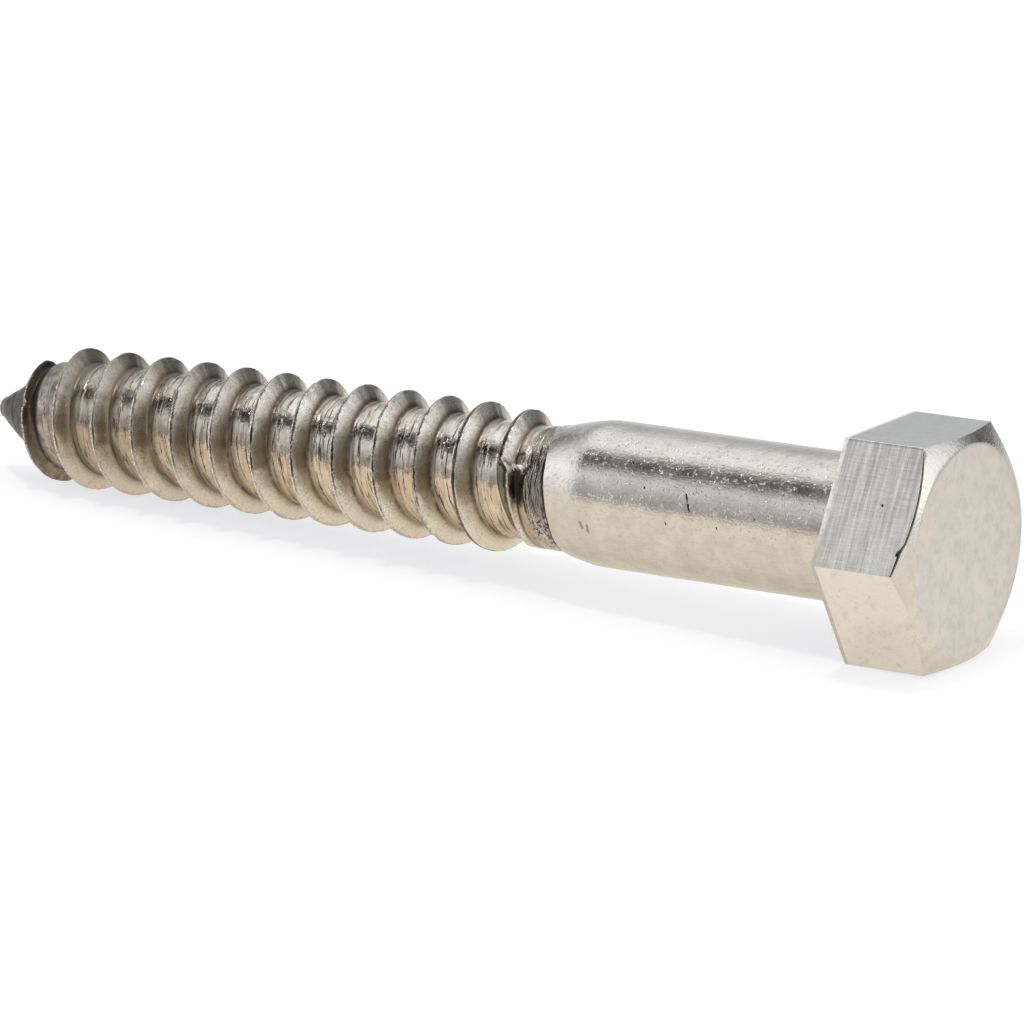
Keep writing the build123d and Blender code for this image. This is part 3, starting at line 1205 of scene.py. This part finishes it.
def shank_steel(n):
    """Mottled, pitted and drawn lengthwise, with its scratches and smudges."""
    spot = screw_spot(n)
    up = n.parts(spot)[0]
    cloud = n.noise(spot, 0.5, 3)
    pits = n.noise(spot, 3.6, 3, 0.6)
    dings = n.noise(spot, 2.4, 2, 0.5)
    mottle = n.noise(spot, 1.3, 5, 0.7)
    lengthwise = n.noise(n.stretched(n.parts(spot), (5, 5, 0.45)), 1, 4, 0.65)
    ragged_spot = shaken(n, spot, 0.3)
    scratches = marked(n, ragged_spot, SCRATCHES)
    colour = n.coats(
        n.blend(n.ramp(cloud, 0.35, 0.65), (0.6, 0.585, 0.55), (0.68, 0.66, 0.62)),
        (mottle, 0.48, 0.68, 0.25, (0.46, 0.43, 0.39)),
        (lengthwise, 0.42, 0.7, 0.14, (0.44, 0.41, 0.37)),
        (n.times(n.ramp(pits, 0.62, 0.7), n.ramp(up, -2, 3, 0.3, 0.55)), DARK),
        (n.times(marked(n, ragged_spot, SMUDGES), 0.6), (0.16, 0.11, 0.07)),
        (n.times(scratches, 0.95), (0.03, 0.026, 0.022)),
    )
    height = n.total(
        n.scaled(pits, 0.018),
        n.scaled(n.noise(spot, 7, 2), 0.006),
        n.scaled(n.ramp(dings, 0.6, 0.7), -0.02),
        n.scaled(lengthwise, 0.01),
        n.scaled(n.noise(spot, 1, 2), 0.022),
        n.scaled(scratches, -0.05),
    )
    return colour, n.ramp(cloud, 0.3, 0.7, 0.16, 0.22), height


def flat_steel(side, light, streaks):
    """Steel of a flat whose outward normal is side degrees round from the top, in its light
    colour, which is painted light for that flat.
    """

    def build(n):
        spot = screw_spot(n)
        x, y, z = n.parts(spot)
        turn = radians(side)
        across = n.plus(n.scaled(x, -sin(turn)), n.scaled(y, cos(turn)))
        cloud = n.noise(spot, 0.6, 3)
        brushed = n.noise(n.vector(n.scaled(across, 0.12), n.scaled(z, 2.6), 0), 1, 5, 0.68)
        crossed = n.noise(n.vector(n.scaled(across, 7), n.scaled(z, 0.5), 3), 1, 3)
        tone = n.total(n.scaled(brushed, 1.6, 0.5), n.scaled(crossed, 0.5, 0.5), 0.5)
        tone = n.plus(n.scaled(tone, streaks, 0.5), n.total(n.scaled(cloud, 0.3, 0.5), 0.5))
        darker = tuple(value * (1 - 0.44 * streaks - 0.08) for value in light)
        dull = tuple(0.72 * value for value in light)
        mottle = n.noise(spot, 1.1, 5, 0.7)
        grit = n.noise(spot, 5, 3, 0.8)
        specks = n.noise(spot, 3, 4, 0.7)
        colour = n.coats(
            n.blend(n.ramp(tone, 0.15, 0.85), darker, light),
            (mottle, 0.48, 0.72, 0.65 - 0.25 * streaks, dull),
            (grit, 0.46, 0.64, 0.12 + 0.5 * streaks, dull),
            (specks, 0.6, 0.72, 0.55, (0.36, 0.33, 0.29)),
        )
        # painted shade: the pit and the chip painted black
        for place_at, reach in HEAD_PITS:
            away = n.vector_math("DISTANCE", shaken(n, spot, 0.35), place_at, "Value")
            colour = n.blend(n.ramp(away, reach * 0.7, reach, 0.95, 0), colour, BLACK)
        height = n.total(
            n.scaled(brushed, 0.012 * streaks),
            n.scaled(crossed, 0.003 * streaks),
            n.scaled(n.noise(spot, 8, 2), 0.0012),
            n.scaled(cloud, 0.01),
        )
        return colour, n.ramp(cloud, 0.3, 0.7, 0.3, 0.38), height

    return build


def end_steel(n):
    """Pale, faintly mottled end face."""
    spot = screw_spot(n)
    cloud = n.noise(spot, 0.35, 3)
    mottle = n.noise(spot, 1.1, 6, 0.65)
    fine = n.noise(spot, 6, 2)
    colour = n.coats(
        n.blend(n.ramp(cloud, 0.35, 0.65), (0.66, 0.665, 0.66), (0.705, 0.685, 0.69)),
        (mottle, 0.42, 0.68, 0.6, (0.585, 0.57, 0.56)),
        (fine, 0.62, 0.72, 0.35, (0.45, 0.44, 0.42)),
    )
    height = n.total(n.scaled(mottle, 0.02), n.scaled(fine, 0.003), n.scaled(cloud, 0.03))
    return colour, n.ramp(mottle, 0.3, 0.7, 0.34, 0.42), height


def bearing_steel(n):
    """Dull face under the head."""
    spot = screw_spot(n)
    cloud = n.noise(spot, 0.6, 3)
    mottle = n.noise(spot, 2.2, 4, 0.6)
    colour = n.blend(n.ramp(cloud, 0.35, 0.65), (0.36, 0.345, 0.32), (0.42, 0.39, 0.35))
    colour = n.blend(n.ramp(mottle, 0.5, 0.7, 0, 0.5), colour, (0.22, 0.2, 0.18))
    return colour, n.ramp(mottle, 0.3, 0.7, 0.42, 0.52), n.scaled(mottle, 0.03)


def chamfer_steel(n):
    """Bright chamfer with dark specks, and painted shade in the seam along the near flat."""
    spot = screw_spot(n)
    cloud = n.noise(spot, 0.8, 3)
    specks = n.noise(spot, 4, 3, 0.65)
    # painted shade in the seam and the chip, broken up by specks
    seam_shade = n.plus(n.attribute("shade_and_highlight", "Fac"), n.scaled(specks, 0.8, 0.5))
    colour = n.coats(
        n.blend(n.ramp(cloud, 0.3, 0.7), LIGHT, (0.7, 0.685, 0.65)),
        (specks, 0.62, 0.72, 0.5, DARK),
        (seam_shade, 0.3, 0.6, 0.95, (0.05, 0.045, 0.04)),
    )
    height = n.total(n.scaled(specks, 0.03), n.scaled(cloud, 0.012))
    return colour, n.ramp(cloud, 0.3, 0.7, 0.2, 0.28), height


def rim_steel(n):
    """Burnished rounding between the bearing face and the flats, with a painted highlight in its
    upper half.
    """
    spot = screw_spot(n)
    specks = n.noise(spot, 3, 3)
    # painted highlight: brighter towards the top
    colour = n.blend(n.ramp(n.parts(spot)[0], 0.5, 3), (0.62, 0.6, 0.56), (0.9, 0.89, 0.87))
    colour = n.blend(n.ramp(specks, 0.45, 0.65, 0, 0.4), colour, (0.55, 0.53, 0.5))
    return colour, n.ramp(specks, 0.3, 0.7, 0.45, 0.6), n.scaled(specks, 0.03)


REGIONS = {
    "thread": thread_steel,
    "shank": shank_steel,
    "bearing": bearing_steel,
    "rim": rim_steel,
    # the flats' colours are lit and shaded copies of one steel: painted light, brightest on the
    # near flat
    "flat_top": flat_steel(0, (0.7, 0.71, 0.71), 0.2),
    "flat_near": flat_steel(60, (0.92, 0.91, 0.88), 1),
    "flat_low": flat_steel(120, (0.86, 0.835, 0.8), 0.1),
    "flat_back": flat_steel(180, (0.64, 0.62, 0.585), 0.3),
    "chamfer": chamfer_steel,
    "end": end_steel,
}


def on_collar(point):
    """Share of torn collar, height above its middle, and share of shoulder, at a point."""
    x, y, z = point
    if z < -35:
        return 0, 0, 0
    above, width = torn_collar(atan2(y, x) % (2 * pi), -z)
    torn = smooth(width + 0.1, width - 0.05, abs(above))
    return torn, above, smooth(width - 0.05, width + 0.1, above)


def add_attribute(mesh, name, values):
    """Store a number or a vector for each point of the mesh."""
    if isinstance(values[0], tuple):
        attribute = mesh.attributes.new(name, "FLOAT_VECTOR", "POINT")
        attribute.data.foreach_set("vector", [value for vector in values for value in vector])
    else:
        attribute = mesh.attributes.new(name, "FLOAT", "POINT")
        attribute.data.foreach_set("value", values)


def add_screw():
    """The screw's mesh with its materials, riding on the body and standing for the CAD solid."""
    shell = build_screw()
    mesh = bpy.data.meshes.new("lag_screw_dressed")
    mesh.from_pydata([place(p) for p in shell.points], [], shell.faces)
    names = list(REGIONS)
    for name in names:
        mesh.materials.append(new_material("steel_" + name, REGIONS[name]))
    slots = [names.index(region) for region in shell.regions]
    mesh.polygons.foreach_set("material_index", slots)
    add_attribute(mesh, "screw", shell.points)
    add_attribute(mesh, "shade_and_highlight", shell.shade_and_highlight)
    add_attribute(mesh, "collar", [on_collar(point) for point in shell.points])
    mesh.validate()
    mesh.shade_smooth()
    mesh.set_sharp_from_angle(angle=radians(32))
    screw = add_object("lag_screw_dressed", mesh)
    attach(screw, "root")
    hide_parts("lag_screw")


bpy.context.scene.view_settings.view_transform = "Standard"
build_world()
build_floor()
build_card()
build_camera()
add_lamp("key_light", 1.2, (0.1, 0.1), (-0.1, -0.1, 0.75))
add_screw()
